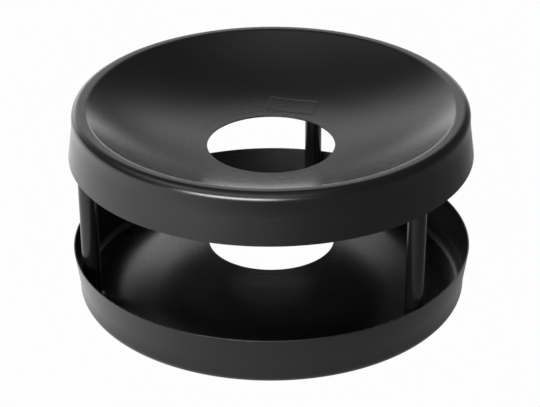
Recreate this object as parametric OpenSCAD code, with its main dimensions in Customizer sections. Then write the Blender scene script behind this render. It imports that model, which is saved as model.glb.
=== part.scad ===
// Round umbrella stand: two identical dished sheet-steel pressings, the upper one with its
// rim down and the lower one with its rim up, held apart by three welded tube posts.
// The origin is on the floor, on the common axis of the two holes. +Z is up, -Y is the front.

/* [Pressings] */
// Outside diameter at the cut edge of the rim wall
rim_d = 335; // [300:1:380]
// Height of the rim wall, from its cut edge to the top of the folded crest
wall_h = 42; // [34:0.5:50]
// Lean of the rim wall at its cut edge, outwards, in degrees
wall_flare = 8; // [1:0.5:10]
// Radius of the gentle bend in which the wall leaves the upright and starts to lean
waist_r = 90; // [40:5:110]
// Outside radius of the fold between the rim wall and the dish
fold_r = 7; // [5:0.5:9]
// Width of the narrow flat land along the top of the fold
land_w = 2; // [1:0.5:4]
// Diameter of the hole in the middle of the dish
hole_d = 106; // [90:1:120]
// Depth of the dish, from the crest down to the edge of the hole
dish_depth = 38.5; // [32:0.5:42]
// Slope of the dish where it leaves the fold, in degrees
crest_slope = 36; // [28:0.5:38]
// Thickness of the sheet
sheet_t = 1; // [0.8:0.1:1.5]

/* [Posts] */
// Overall height of the stand
stand_h = 168; // [140:1:240]
// Outside diameter of a post
post_d = 15; // [12:0.5:16]
// Wall thickness of a post
post_wall = 1.5; // [1:0.5:2.5]
// Gap between a post and the inside of the rim wall, at the end of the fold
post_gap = 0.2; // [0.2:0.1:3]
// Direction of the back post from the axis, in degrees from +X
back_dir = 75.5; // [60:0.5:110]
// Angle from the back post to each of the other two, in degrees
post_spacing = 118; // [110:1:125]

/* [Welds] */
// Leg of the fillet weld that joins a post to a pressing
weld_leg = 3; // [2:0.5:4]
// How far the weld runs past the sides of the post, towards the rim wall
weld_past = 1; // [0:0.5:2]

/* [Hidden] */
$fn = 180;

hole_r = hole_d / 2;
rim_r = rim_d / 2;

// The fold turns from the slope of the dish, over the land, to an upright. From there the
// wall bends outwards in the waist, and then runs straight to its cut edge.
straight_drop = wall_h - fold_r - waist_r * sin(wall_flare);
fold_end_r = rim_r - straight_drop * tan(wall_flare) - waist_r * (1 - cos(wall_flare));
outer_turn = [fold_end_r - fold_r, -fold_r];
inner_turn = outer_turn - [land_w, 0];
waist_centre = [fold_end_r + waist_r, -fold_r];

// The dish is one arc, hollow from above and tangent to the fold. Its radius and its slope
// at the hole follow from its depth and its slope at the crest.
dish_top = inner_turn + fold_r * [-sin(crest_slope), cos(crest_slope)];
dish_run = dish_top.x - hole_r;
hole_slope = 2 * atan((dish_depth + dish_top.y) / dish_run) - crest_slope;
dish_r = dish_run / (sin(crest_slope) - sin(hole_slope));
dish_centre = dish_top + dish_r * [-sin(crest_slope), cos(crest_slope)];

// Largest turn of one straight step in the dish and the waist, and in the fold, in degrees
dish_step = 1.5;
fold_step = 6;

// A post stands in the fold, just clear of the rim wall
post_r = post_d / 2;
post_place = fold_end_r - sheet_t - post_gap - post_r;
right_dir = back_dir - post_spacing;
left_dir = back_dir + post_spacing;

black_sheet = [0.09, 0.09, 0.095];
black_tube = [0.13, 0.13, 0.135];
black_weld = [0.18, 0.18, 0.185];

// Points along an arc, between two directions in degrees from +Y towards +X
function arc(centre, r, from, to, step) =
    let (steps = ceil(abs(to - from) / step))
    [for (i = [0:steps]) let (a = from + (to - from) * i / steps) centre + r * [sin(a), cos(a)]];

function all_but_first(points) = [for (i = [1:len(points) - 1]) points[i]];

function reversed(points) = [for (i = [len(points) - 1:-1:0]) points[i]];

// One face of the sheet of a pressing, from the edge of the hole to the cut edge of the rim
// wall, rim down, with the crest at height 0. depth is how far it lies under the outer face.
function sheet_face(depth) =
    let (
        dish_face_r = dish_r + depth,
        bend = fold_r - depth,
        hole_dir = 180 - asin((hole_r - dish_centre.x) / dish_face_r)
    )
    concat(
        arc(dish_centre, dish_face_r, hole_dir, 180 - crest_slope, dish_step),
        all_but_first(arc(inner_turn, bend, -crest_slope, 0, fold_step)),
        arc(outer_turn, bend, 0, 90, fold_step),
        all_but_first(arc(waist_centre, waist_r + depth, 270, 270 - wall_flare, dish_step)),
        [[rim_r - depth / cos(wall_flare), -wall_h]]
    );

// Section of the space between the undersides of the two pressings
function between_section() =
    let (under = sheet_face(sheet_t))
    concat(
        [for (p = under) [p.x, stand_h + p.y]],
        [for (p = reversed(under)) [p.x, -p.y]]
    );

// One pressing, rim down, with the top of its crest at height 0
module pressing() {
    rotate_extrude()
        polygon(concat(sheet_face(0), reversed(sheet_face(sheet_t))));
}

module between_pressings() {
    rotate_extrude()
        polygon(between_section());
}

// A tube with its ends cut to the shape of the folds that it stands in
module post(dir) {
    color(black_tube)
        intersection() {
            rotate(dir)
                translate([post_place, 0, 0])
                    difference() {
                        cylinder(h = stand_h, r = post_r);
                        translate([0, 0, -stand_h / 2])
                            cylinder(h = 2 * stand_h, r = post_r - post_wall);
                    }
            between_pressings();
        }
}

// The weld at the upper end of a post: a bead along the underside of the dish, around the
// half of the post that faces the axis
module weld(dir) {
    bead_r = post_r + weld_leg;
    color(black_weld)
        difference() {
            intersection() {
                rotate(dir)
                    translate([post_place - bead_r, -bead_r, stand_h / 2])
                        cube([bead_r + weld_past, 2 * bead_r, stand_h / 2]);
                rotate(dir)
                    translate([post_place, 0, 0])
                        cylinder(h = stand_h, r = bead_r);
                between_pressings();
            }
            translate([0, 0, -weld_leg])
                between_pressings();
            rotate(dir)
                translate([post_place, 0, 0])
                    cylinder(h = stand_h, r = post_r);
        }
}

module lower_weld(dir) {
    translate([0, 0, stand_h])
        mirror([0, 0, 1])
            weld(dir);
}

module upper_dish() {
    color(black_sheet)
        translate([0, 0, stand_h])
            pressing();
}

module lower_dish() {
    color(black_sheet)
        mirror([0, 0, 1])
            pressing();
}

module right_post() { post(right_dir); }
module back_post() { post(back_dir); }
module left_post() { post(left_dir); }
module right_upper_weld() { weld(right_dir); }
module back_upper_weld() { weld(back_dir); }
module left_upper_weld() { weld(left_dir); }
module right_lower_weld() { lower_weld(right_dir); }
module back_lower_weld() { lower_weld(back_dir); }
module left_lower_weld() { lower_weld(left_dir); }

upper_dish();
lower_dish();
right_post();
back_post();
left_post();
right_upper_weld();
back_upper_weld();
left_upper_weld();
right_lower_weld();
back_lower_weld();
left_lower_weld();
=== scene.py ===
"""Looks for the umbrella stand: two powder-coated steel pressings on three welded tube posts.

The pressings are lathed with their spinning marks, weld marks and a blank raised plate,
the posts are tubes coped to the folds, and the welds are rippled fillet beads.
"""

import math

import bpy
import numpy as np
from mathutils import Euler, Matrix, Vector


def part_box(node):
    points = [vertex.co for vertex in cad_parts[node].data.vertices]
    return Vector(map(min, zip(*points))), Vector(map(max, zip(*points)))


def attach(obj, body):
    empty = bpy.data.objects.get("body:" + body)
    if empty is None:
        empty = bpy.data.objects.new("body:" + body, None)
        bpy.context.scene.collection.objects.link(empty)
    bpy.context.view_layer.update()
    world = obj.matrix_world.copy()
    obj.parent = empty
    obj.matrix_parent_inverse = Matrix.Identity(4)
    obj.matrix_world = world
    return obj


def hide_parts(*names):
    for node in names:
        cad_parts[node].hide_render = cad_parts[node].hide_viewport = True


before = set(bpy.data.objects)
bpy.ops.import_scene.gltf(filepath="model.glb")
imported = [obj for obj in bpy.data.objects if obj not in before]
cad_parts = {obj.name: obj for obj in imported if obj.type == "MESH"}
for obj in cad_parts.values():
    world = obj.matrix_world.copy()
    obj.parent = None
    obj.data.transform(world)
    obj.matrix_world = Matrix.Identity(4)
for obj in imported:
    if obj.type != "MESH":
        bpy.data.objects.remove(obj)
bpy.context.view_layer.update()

MM = 0.001

# ---------------------------------------------------------------- sizes

# Read from the frame: the rim and the height of the stand and of one pressing
low_corner, high_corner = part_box("upper_dish")
RIM_R = high_corner.x
STAND_H = high_corner.z
WALL_H = high_corner.z - low_corner.z

# The rest of the section of a pressing, as in the CAD model
HOLE_R = 53 * MM
FOLD_R = 7 * MM
LAND = 2 * MM
FLARE = math.radians(8)
WAIST_R = 90 * MM
CREST_SLOPE = math.radians(36)
DISH_DEPTH = 38.5 * MM
SHEET = 1 * MM

# Rounding of the cut edges, and the rows of the mesh beside one, in radii from the edge
EDGE_R = 0.16 * MM
EDGE_STEPS = 4
EDGE_ROWS = np.array([1.1, 1.8, 3.2])

# Rows of the mesh along each part of a pressing's section, and columns round it
ROWS_PER_MARK = 6
PLAIN_DISH_ROWS = 26
UNMARKED_DISH_ROWS = 32
INNER_BEND_STEPS = 10
OUTER_BEND_STEPS = 20
WAIST_STEPS = 8
WALL_ROWS = 12
UPPER_COLUMNS = 168
LOWER_COLUMNS = 184

# The posts, and the fillet welds round the half of each post that faces the axis
POSTS = ("right", "back", "left")
POST_WALL = 1.5 * MM
WELD_LEG = 3 * MM
WELD_HALF_TURN = math.radians(95)
WELD_RIPPLES = 26
POST_SIDES = 72
POST_LEVELS = 24
BEAD_COLUMNS = 141
BEAD_ROWS = 9

# Marks of the spinning tool, strongest at the hole and gone at MARKS_END
MARK_PITCH = 1.9 * MM
MARK_HEIGHT = 0.055 * MM
MARKS_FULL = 60 * MM
MARKS_END = 94 * MM

# The blank raised plate on the upper dish: its middle, its half sizes, and the width and
# height of the step round it
STAMP_R = 69.6 * MM
STAMP_DIRECTION = math.radians(75)
STAMP_HALF = (21.2 * MM, 9.4 * MM)
STAMP_CORNER = 1.5 * MM
STAMP_STEP = 0.8 * MM
STAMP_HEIGHT = 0.12 * MM

# Where the weld under the crest shows through the sheet as a low swelling
WELD_MARK_R = 148 * MM
WELD_MARK_SPREAD = 4.5 * MM
WELD_MARK_HEIGHT = 0.05 * MM


# ---------------------------------------------------------------- the section of a pressing

def plane(direction):
    """A unit vector (r, z) at an angle from +z towards +r."""
    return np.array([math.sin(direction), math.cos(direction)])


# The fold turns from the slope of the dish, over a flat land, to an upright. From there the
# wall bends outwards in the waist, and then runs straight to its cut edge.
straight_drop = WALL_H - FOLD_R - WAIST_R * math.sin(FLARE)
fold_end_r = RIM_R - straight_drop * math.tan(FLARE) - WAIST_R * (1 - math.cos(FLARE))
outer_turn = np.array([fold_end_r - FOLD_R, -FOLD_R])
inner_turn = outer_turn - [LAND, 0]
waist_centre = np.array([fold_end_r + WAIST_R, -FOLD_R])

# The dish is one arc, tangent to the fold
dish_top = inner_turn + FOLD_R * plane(-CREST_SLOPE)
dish_run = dish_top[0] - HOLE_R
HOLE_SLOPE = 2 * math.atan((DISH_DEPTH + dish_top[1]) / dish_run) - CREST_SLOPE
DISH_R = dish_run / (math.sin(CREST_SLOPE) - math.sin(HOLE_SLOPE))
dish_centre = dish_top + DISH_R * plane(-CREST_SLOPE)


def dish_point(r, depth):
    """Point and upward normal of the dish at radius r, on the face that lies depth under the top."""
    normal = plane(-math.asin((r - dish_centre[0]) / (DISH_R + depth)))
    return dish_centre - (DISH_R + depth) * normal, normal


def turned(centre, radius, start, end, steps):
    """Points and normals along an arc of a fold."""
    directions = np.linspace(start, end, steps + 1)
    return [(centre + radius * plane(a), plane(a)) for a in directions]


def under_height(r):
    """Height of the underside of a pressing at radius r, from the top of its crest."""
    bend = FOLD_R - SHEET
    if r > outer_turn[0]:
        return outer_turn[1] + math.sqrt(bend ** 2 - (r - outer_turn[0]) ** 2)
    if r > inner_turn[0]:
        return -SHEET
    if r > inner_turn[0] - bend * math.sin(CREST_SLOPE):
        return inner_turn[1] + math.sqrt(bend ** 2 - (inner_turn[0] - r) ** 2)
    return dish_point(r, SHEET)[0][1]


def dish_radii(fine):
    """Radii of the rows of the dish, close together where the tool marks are if fine is set."""
    edge_rows = HOLE_R + EDGE_ROWS * EDGE_R
    last = dish_top[0] - 0.2 * MM
    if not fine:
        return np.concatenate([edge_rows, np.linspace(HOLE_R + 2 * MM, last,
                                                      UNMARKED_DISH_ROWS)])
    marked = np.arange(HOLE_R + 1.2 * MM, MARKS_END, MARK_PITCH / ROWS_PER_MARK)
    plain = np.linspace(MARKS_END + 1 * MM, last, PLAIN_DISH_ROWS)
    return np.concatenate([edge_rows, marked, plain])


def face_rows(depth, fine):
    """Points and normals along one face of the sheet, from the hole to the end of the wall."""
    rows = [dish_point(r, depth) for r in dish_radii(fine)]
    bend = FOLD_R - depth
    rows += turned(inner_turn, bend, -CREST_SLOPE, 0, INNER_BEND_STEPS)
    rows += turned(outer_turn, bend, 0, math.pi / 2, OUTER_BEND_STEPS)
    hollow = turned(waist_centre, WAIST_R + depth, -math.pi / 2, -math.pi / 2 - FLARE,
                    WAIST_STEPS)
    rows += [(point, -normal) for point, normal in hollow[1:]]
    wall_normal = plane(math.pi / 2 - FLARE)
    top = rows[-1][0]
    end = np.array([RIM_R - depth / math.cos(FLARE), -WALL_H])
    near_end = 1 - EDGE_ROWS[::-1] * EDGE_R / straight_drop
    shares = np.concatenate([np.linspace(0, 0.97, WALL_ROWS)[1:], near_end])
    return rows + [(top + (end - top) * share, wall_normal) for share in shares]


def cut_corner(corner, normal, next_normal):
    """A cut edge rounded between two faces that meet at corner."""
    middle = corner - EDGE_R * (normal + next_normal) / (1 + normal @ next_normal)
    start = math.atan2(*normal)
    turn = math.remainder(math.atan2(*next_normal) - start, 2 * math.pi)
    return turned(middle, EDGE_R, start, start + turn, EDGE_STEPS)


def pressing_section(shown_depth):
    """The closed section of the sheet: points, normals, and which rows are the shown face."""
    outer = face_rows(0, fine=shown_depth == 0)
    inner = [(point, -normal) for point, normal in face_rows(SHEET, fine=shown_depth > 0)]
    down, inward = plane(math.pi), plane(-math.pi / 2)
    wall_normal = outer[-1][1]
    hole_top, hole_under = dish_point(HOLE_R, 0), dish_point(HOLE_R, SHEET)
    rim_out = np.array([RIM_R, -WALL_H])
    rim_in = np.array([RIM_R - SHEET / math.cos(FLARE), -WALL_H])
    rim_edge = cut_corner(rim_out, wall_normal, down) + cut_corner(rim_in, down, -wall_normal)
    hole_edge = (cut_corner(hole_under[0], -hole_under[1], inward)
                 + cut_corner(hole_top[0], inward, hole_top[1]))
    rows = outer + rim_edge + inner[::-1] + hole_edge
    shown = np.zeros(len(rows), bool)
    if shown_depth == 0:
        shown[:len(outer)] = True
    else:
        first = len(outer) + len(rim_edge)
        shown[first:first + len(inner)] = True
    points = np.array([point for point, _ in rows])
    normals = np.array([normal for _, normal in rows])
    return points, normals, shown


# ---------------------------------------------------------------- relief of the shown face

def ease(x, start, end):
    """0 before start, 1 after end, and smooth in between. start may be the larger."""
    t = np.clip((x - start) / (end - start), 0, 1)
    return t * t * (3 - 2 * t)


def tool_marks(r, direction):
    """Rings left by the spinning tool, a little stronger on one side and not all alike."""
    phase = 2 * math.pi * (r - HOLE_R) / MARK_PITCH
    uneven = 1 + 0.35 * np.sin(phase * 0.31 + 0.6) + 0.2 * np.sin(phase * 0.17 + 2.1)
    side = 0.8 + 0.2 * np.cos(direction - math.radians(200))
    return MARK_HEIGHT * ease(r, MARKS_END, MARKS_FULL) * uneven * side * np.sin(phase)


def weld_marks(r, direction):
    """Low swellings over the three welds."""
    height = 0
    for name in POSTS:
        place = post_centre(name)
        off = WELD_MARK_R * np.remainder(direction - math.atan2(place.y, place.x) + math.pi,
                                         2 * math.pi) - WELD_MARK_R * math.pi
        height = height + np.exp(-((r - WELD_MARK_R) ** 2 + off ** 2) / WELD_MARK_SPREAD ** 2)
    return WELD_MARK_HEIGHT * height


def stamp(r, direction):
    """A low raised plate with rounded corners, left blank."""
    turn = direction - STAMP_DIRECTION
    across = np.abs(r * np.sin(turn)) - STAMP_HALF[0] + STAMP_CORNER
    along = np.abs(r * np.cos(turn) - STAMP_R) - STAMP_HALF[1] + STAMP_CORNER
    outside = np.hypot(np.maximum(across, 0), np.maximum(along, 0))
    off_edge = outside + np.minimum(np.maximum(across, along), 0) - STAMP_CORNER
    ahead = np.cos(turn) > 0
    return STAMP_HEIGHT * ease(off_edge, STAMP_STEP / 2, -STAMP_STEP / 2) * ahead


# ---------------------------------------------------------------- meshes

def grid_piece(name, points, close_columns, material):
    """A mesh piece from a grid of points, columns by rows. Its rows are closed loops."""
    columns, rows, _ = points.shape
    index = np.arange(columns * rows).reshape(columns, rows)
    here = index if close_columns else index[:-1]
    after = np.roll(index, -1, axis=0) if close_columns else index[1:]
    faces = np.stack([here, after, np.roll(after, -1, axis=1), np.roll(here, -1, axis=1)], axis=-1)
    faces = faces.reshape(-1, 4).tolist()
    if not close_columns:
        faces += [index[0].tolist(), index[-1][::-1].tolist()]
    mesh = bpy.data.meshes.new(name)
    mesh.from_pydata(points.reshape(-1, 3).tolist(), [], faces)
    mesh.shade_smooth()
    mesh.validate()
    mesh.materials.append(material)
    piece = bpy.data.objects.new(name, mesh)
    bpy.context.scene.collection.objects.link(piece)
    return piece


def outward(piece):
    """Turns the faces of a closed piece outwards."""
    mesh = piece.data
    mesh.calc_loop_triangles()
    volume = 0
    for triangle in mesh.loop_triangles:
        a, b, c = (mesh.vertices[i].co for i in triangle.vertices)
        volume += a.dot(b.cross(c))
    if volume < 0:
        mesh.flip_normals()
    return piece


def column_directions(count, stamped):
    """Directions of the columns of a pressing, closer together across the raised plate."""
    directions = np.linspace(0, 2 * math.pi, count, endpoint=False)
    if not stamped:
        return directions
    reach = (STAMP_HALF[0] + 2 * MM) / (STAMP_R - STAMP_HALF[1])
    clear = np.abs(directions - STAMP_DIRECTION) > reach
    fine = STAMP_DIRECTION + np.arange(-reach, reach, STAMP_STEP / STAMP_R / 2)
    return np.sort(np.concatenate([directions[clear], fine]))


def pressing(name, upper, material):
    """One pressing. The upper one shows its hollow face, and the lower one its underside."""
    points, normals, shown = pressing_section(0 if upper else SHEET)
    directions = column_directions(UPPER_COLUMNS if upper else LOWER_COLUMNS, stamped=upper)
    around, r = np.meshgrid(directions, points[:, 0], indexing="ij")
    relief = tool_marks(r, around) * (points[:, 0] < dish_top[0])
    if upper:
        relief = relief + stamp(r, around) + weld_marks(r, around)
    relief = relief * shown
    r = r + relief * normals[:, 0]
    height = points[:, 1] + relief * normals[:, 1]
    z = STAND_H + height if upper else -height
    return outward(grid_piece(name, np.stack([r * np.cos(around), r * np.sin(around), z], axis=-1),
                              True, material))


def post_centre(name):
    low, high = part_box(name + "_post")
    return (low + high) / 2


def post_radius(name):
    low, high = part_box(name + "_post")
    return (high.x - low.x) / 2


def tube_post(name, material):
    """A tube with both ends cut to the shape of the folds that it stands in."""
    centre, outer_r = post_centre(name), post_radius(name)
    columns = []
    for turn in np.linspace(0, 2 * math.pi, POST_SIDES, endpoint=False):
        column = []
        for r, rising in ((outer_r, True), (outer_r - POST_WALL, False)):
            x = centre.x + r * math.cos(turn)
            y = centre.y + r * math.sin(turn)
            under = under_height(math.hypot(x, y))
            heights = np.linspace(-under, STAND_H + under, POST_LEVELS)
            column += [(x, y, z) for z in (heights if rising else heights[::-1])]
        columns.append(column)
    return outward(grid_piece(name + "_tube", np.array(columns), True, material))


def weld_bead(name, upper, material):
    """A convex fillet bead with ripples, along the underside of a pressing, round one post."""
    centre, post_r = post_centre(name), post_radius(name)
    inwards = math.atan2(-centre.y, -centre.x)
    across = np.linspace(0, 1, BEAD_ROWS)
    columns = []
    for turn in np.linspace(-WELD_HALF_TURN, WELD_HALF_TURN, BEAD_COLUMNS):
        share = abs(turn) / WELD_HALF_TURN
        size = math.sqrt(1 - ease(share, 0.86, 1.01) ** 2)
        ripple = 0.5 + 0.5 * np.cos(turn * WELD_RIPPLES + 2.2 * (across - 0.5) ** 2)
        bulge = (0.10 + 0.07 * ripple) * np.sin(math.pi * across)
        leg = WELD_LEG * size * (0.93 + 0.02 * math.sin(turn * 7.3 + centre.x * 90))
        out = post_r + leg * (across + bulge * 0.5)
        drop = leg * (1 - across + bulge * 0.5)
        out = np.append(out, post_r)
        drop = np.append(drop, 0)
        column = []
        for r, fall in zip(out, drop):
            x = centre.x + r * math.cos(inwards + turn)
            y = centre.y + r * math.sin(inwards + turn)
            height = under_height(math.hypot(x, y)) - fall
            column.append((x, y, STAND_H + height if upper else -height))
        columns.append(column)
    end = "_upper_bead" if upper else "_lower_bead"
    return outward(grid_piece(name + end, np.array(columns), False, material))


# ---------------------------------------------------------------- materials

class Shader:
    """A small helper that adds nodes to one node tree and links them."""

    def __init__(self, tree):
        self.tree = tree

    def add(self, kind, settings=None, **inputs):
        """Adds a node, sets its properties, and sets or links its inputs by name."""
        node = self.tree.nodes.new(kind)
        for key, value in (settings or {}).items():
            setattr(node, key, value)
        for key, value in inputs.items():
            self.put(node, key.replace("_", " "), value)
        return node

    def put(self, node, key, value):
        socket = node.inputs[int(key)] if key.isdigit() else node.inputs[key]
        if isinstance(value, bpy.types.NodeSocket):
            self.tree.links.new(value, socket)
        else:
            socket.default_value = value

    def math(self, operation, *values, clamp=False):
        node = self.add("ShaderNodeMath", {"operation": operation, "use_clamp": clamp})
        for i, value in enumerate(values):
            self.put(node, str(i), value)
        return node.outputs[0]

    def spread(self, value, low, high, start=0.0, end=1.0, kind="LINEAR"):
        """Maps value from start..end to low..high."""
        node = self.add("ShaderNodeMapRange", {"interpolation_type": kind}, Value=value)
        for key, number in zip(("From Min", "From Max", "To Min", "To Max"),
                               (start, end, low, high)):
            self.put(node, key, number)
        return node.outputs[0]

    def noise(self, where, scale, detail=2.0):
        return self.add("ShaderNodeTexNoise", Vector=where, Scale=scale,
                        Detail=detail).outputs["Fac"]


# Features of the coat per metre: broad clouding, orange peel and fine specks
CLOUD_SCALE = 22.0
PEEL_SCALE = 420.0
SPECK_SCALE = 1400.0

# Relief of the grain in the metal that shows through the coat
GRAIN_HEIGHT = 0.0015 * MM
GRAIN_STRENGTH = 0.35

# Colours of the coat, deeper than real powder coat to suit the strong key light below
COAT_BLACK = (0.003, 0.003, 0.0031)
WELD_BLACK = (0.004, 0.004, 0.0041)


def powder_coat(name, colour, roughness, peel, grain_pitch, along_axis):
    """Satin black powder coat over worked steel.

    peel is the height of its orange peel. The metal under it carries a fine grain: rings
    about the axis of the stand, or lines along a tube if along_axis is set.
    """
    material = bpy.data.materials.new(name)
    material.use_nodes = True
    s = Shader(material.node_tree)
    shader = material.node_tree.nodes["Principled BSDF"]
    place = s.add("ShaderNodeTexCoord").outputs["Object"]
    parts = s.add("ShaderNodeSeparateXYZ", Vector=place)
    if along_axis:
        grain_place = s.add("ShaderNodeMapping", Vector=place, Scale=(1, 1, 0.01)).outputs[0]
        grain = s.noise(grain_place, 1 / grain_pitch)
    else:
        r = s.math("SQRT", s.math("ADD", s.math("POWER", parts.outputs["X"], 2.0),
                                  s.math("POWER", parts.outputs["Y"], 2.0)))
        ring_place = s.add("ShaderNodeCombineXYZ", X=r, Z=parts.outputs["Z"]).outputs[0]
        grain = s.noise(ring_place, 1 / grain_pitch)
    cloud = s.noise(place, CLOUD_SCALE, 3.0)
    speck = s.noise(place, SPECK_SCALE)
    rough = s.math("ADD", s.spread(cloud, roughness * 0.95, roughness * 1.05, 0.3, 0.7),
                   s.spread(grain, -0.006, 0.006, 0.3, 0.7))
    shade = s.math("MULTIPLY", s.spread(cloud, 0.92, 1.08, 0.3, 0.7),
                   s.spread(speck, 0.9, 1.1, 0.3, 0.7))
    tint = s.add("ShaderNodeVectorMath", {"operation": "SCALE"}, Vector=colour, Scale=shade)
    worked = s.add("ShaderNodeBump", Strength=GRAIN_STRENGTH, Distance=GRAIN_HEIGHT,
                   Height=grain)
    coat = s.add("ShaderNodeBump", Strength=1.0, Distance=peel,
                 Height=s.noise(place, PEEL_SCALE, 1.0), Normal=worked.outputs[0])
    s.put(shader, "Base Color", tint.outputs[0])
    s.put(shader, "Roughness", rough)
    s.put(shader, "Normal", coat.outputs[0])
    shader.inputs["IOR"].default_value = 1.5
    return material


# ---------------------------------------------------------------- the pieces

sheet_paint = powder_coat("sheet_paint", COAT_BLACK, 0.27, 0.008 * MM,
                          0.55 * MM, along_axis=False)
tube_paint = powder_coat("tube_paint", COAT_BLACK, 0.25, 0.008 * MM,
                         0.6 * MM, along_axis=True)
weld_paint = powder_coat("weld_paint", WELD_BLACK, 0.30, 0.02 * MM,
                         0.8 * MM, along_axis=False)


def stand_for(piece, node):
    """The piece rides on the stand and hides its CAD node."""
    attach(piece, "root")
    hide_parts(node)


stand_for(pressing("upper_pressing", True, sheet_paint), "upper_dish")
stand_for(pressing("lower_pressing", False, sheet_paint), "lower_dish")
for post in POSTS:
    stand_for(tube_post(post, tube_paint), post + "_post")
    stand_for(weld_bead(post, True, weld_paint), post + "_upper_weld")
    stand_for(weld_bead(post, False, weld_paint), post + "_lower_weld")


# ---------------------------------------------------------------- floor, light and camera

# The studio seen by the stand, as soft panels in the sky: azimuth from +X, elevation, the
# half width and half height of the panel and of its soft edge in degrees, and its radiance
SKY = 0.13
PANELS = {
    "overhead": (240, 59, 30, 12, 10, 1.7),
    "zenith": (235, 86, 18, 16, 14, 0.35),
    "left_side": (185, 45, 16, 12, 10, 0.9),
    "backdrop": (101, 3, 31, 8, 7, 2.4),
    "backdrop_left": (122, 16, 13, 12, 8, 0.9),
    "backdrop_top": (92, 32, 22, 10, 9, 1.3),
    "key": (249, 16, 22, 5, 8, 44.0),
}


def panel_light(s, towards, azimuth, elevation, half_width, half_height, soft, radiance):
    """Radiance of one soft-edged panel in the direction towards."""
    a, e = math.radians(azimuth), math.radians(elevation)
    axis = Vector((math.cos(a) * math.cos(e), math.sin(a) * math.cos(e), math.sin(e)))
    side = Vector((-math.sin(a), math.cos(a), 0))
    up = axis.cross(side)

    def along(direction):
        return s.add("ShaderNodeVectorMath", {"operation": "DOT_PRODUCT"},
                     **{"0": towards, "1": direction}).outputs["Value"]

    share = None
    for across, half in ((side, half_width), (up, half_height)):
        off = s.math("ABSOLUTE", s.math("ARCTAN2", along(across), along(axis)))
        inside = s.spread(off, 1.0, 0.0, math.radians(half - soft), math.radians(half + soft),
                          "SMOOTHSTEP")
        share = inside if share is None else s.math("MULTIPLY", share, inside)
    return s.math("MULTIPLY", share, radiance)


def studio():
    """A plain white studio to the camera, with soft panels of light for the stand."""
    world = bpy.data.worlds.new("studio")
    bpy.context.scene.world = world
    world.use_nodes = True
    s = Shader(world.node_tree)
    towards = s.add("ShaderNodeTexCoord").outputs["Generated"]
    total = SKY
    for panel in PANELS.values():
        total = s.math("ADD", total, panel_light(s, towards, *panel))
    seen = s.add("ShaderNodeLightPath").outputs["Is Camera Ray"]
    strength = s.add("ShaderNodeMix", Factor=seen, A=total, B=1.0).outputs[0]
    background = world.node_tree.nodes["Background"]
    s.put(background, "Strength", strength)
    s.put(background, "Color", (1, 1, 1, 1))


# The floor is this wide each way, and this bright to the camera. The light that it throws
# back is brightest towards this side, and falls off over this distance each way.
FLOOR_HALF = 6.0
FLOOR_SEEN = 0.985
FLOOR_BRIGHT_SIDE = math.radians(150)
FLOOR_LIGHT = (0.2, 1.35)
FLOOR_FALL = 0.35


def pale_floor():
    """A plain pale floor. The light that it throws back falls off to the front and right."""
    mesh = bpy.data.meshes.new("floor")
    corners = [(-FLOOR_HALF, -FLOOR_HALF, 0), (FLOOR_HALF, -FLOOR_HALF, 0),
               (FLOOR_HALF, FLOOR_HALF, 0), (-FLOOR_HALF, FLOOR_HALF, 0)]
    mesh.from_pydata(corners, [], [(0, 1, 2, 3)])
    floor = bpy.data.objects.new("floor", mesh)
    bpy.context.scene.collection.objects.link(floor)
    material = bpy.data.materials.new("floor")
    material.use_nodes = True
    s = Shader(material.node_tree)
    place = s.add("ShaderNodeTexCoord").outputs["Object"]
    away = (math.cos(FLOOR_BRIGHT_SIDE), math.sin(FLOOR_BRIGHT_SIDE), 0)
    depth = s.add("ShaderNodeVectorMath", {"operation": "DOT_PRODUCT"},
                  **{"0": place, "1": away}).outputs["Value"]
    lit = s.spread(depth, *FLOOR_LIGHT, -FLOOR_FALL, FLOOR_FALL, "SMOOTHSTEP")
    seen = s.add("ShaderNodeLightPath").outputs["Is Camera Ray"]
    strength = s.add("ShaderNodeMix", Factor=seen, A=lit, B=FLOOR_SEEN).outputs[0]
    glow = s.add("ShaderNodeEmission", Strength=strength)
    s.put(material.node_tree.nodes["Material Output"], "Surface", glow.outputs[0])
    mesh.materials.append(material)


# The camera looks at the middle of the stand, with a slight turn from that line
CAMERA_DISTANCE = 1.552
CAMERA_ELEVATION = math.radians(27.86)
CAMERA_TURN = Euler((-0.0062, 0.0007, -0.0049))
CAMERA_LENS = 123.1


def camera():
    data = bpy.data.cameras.new("camera")
    data.lens = CAMERA_LENS
    obj = bpy.data.objects.new("camera", data)
    bpy.context.scene.collection.objects.link(obj)
    back = Vector((0, -math.cos(CAMERA_ELEVATION), math.sin(CAMERA_ELEVATION)))
    obj.location = Vector((0, 0, STAND_H / 2)) + CAMERA_DISTANCE * back
    obj.rotation_mode = "QUATERNION"
    obj.rotation_quaternion = (-back).to_track_quat("-Z", "Y") @ CAMERA_TURN.to_quaternion()
    bpy.context.scene.camera = obj


studio()
pale_floor()
camera()
bpy.context.scene.view_settings.view_transform = "Standard"
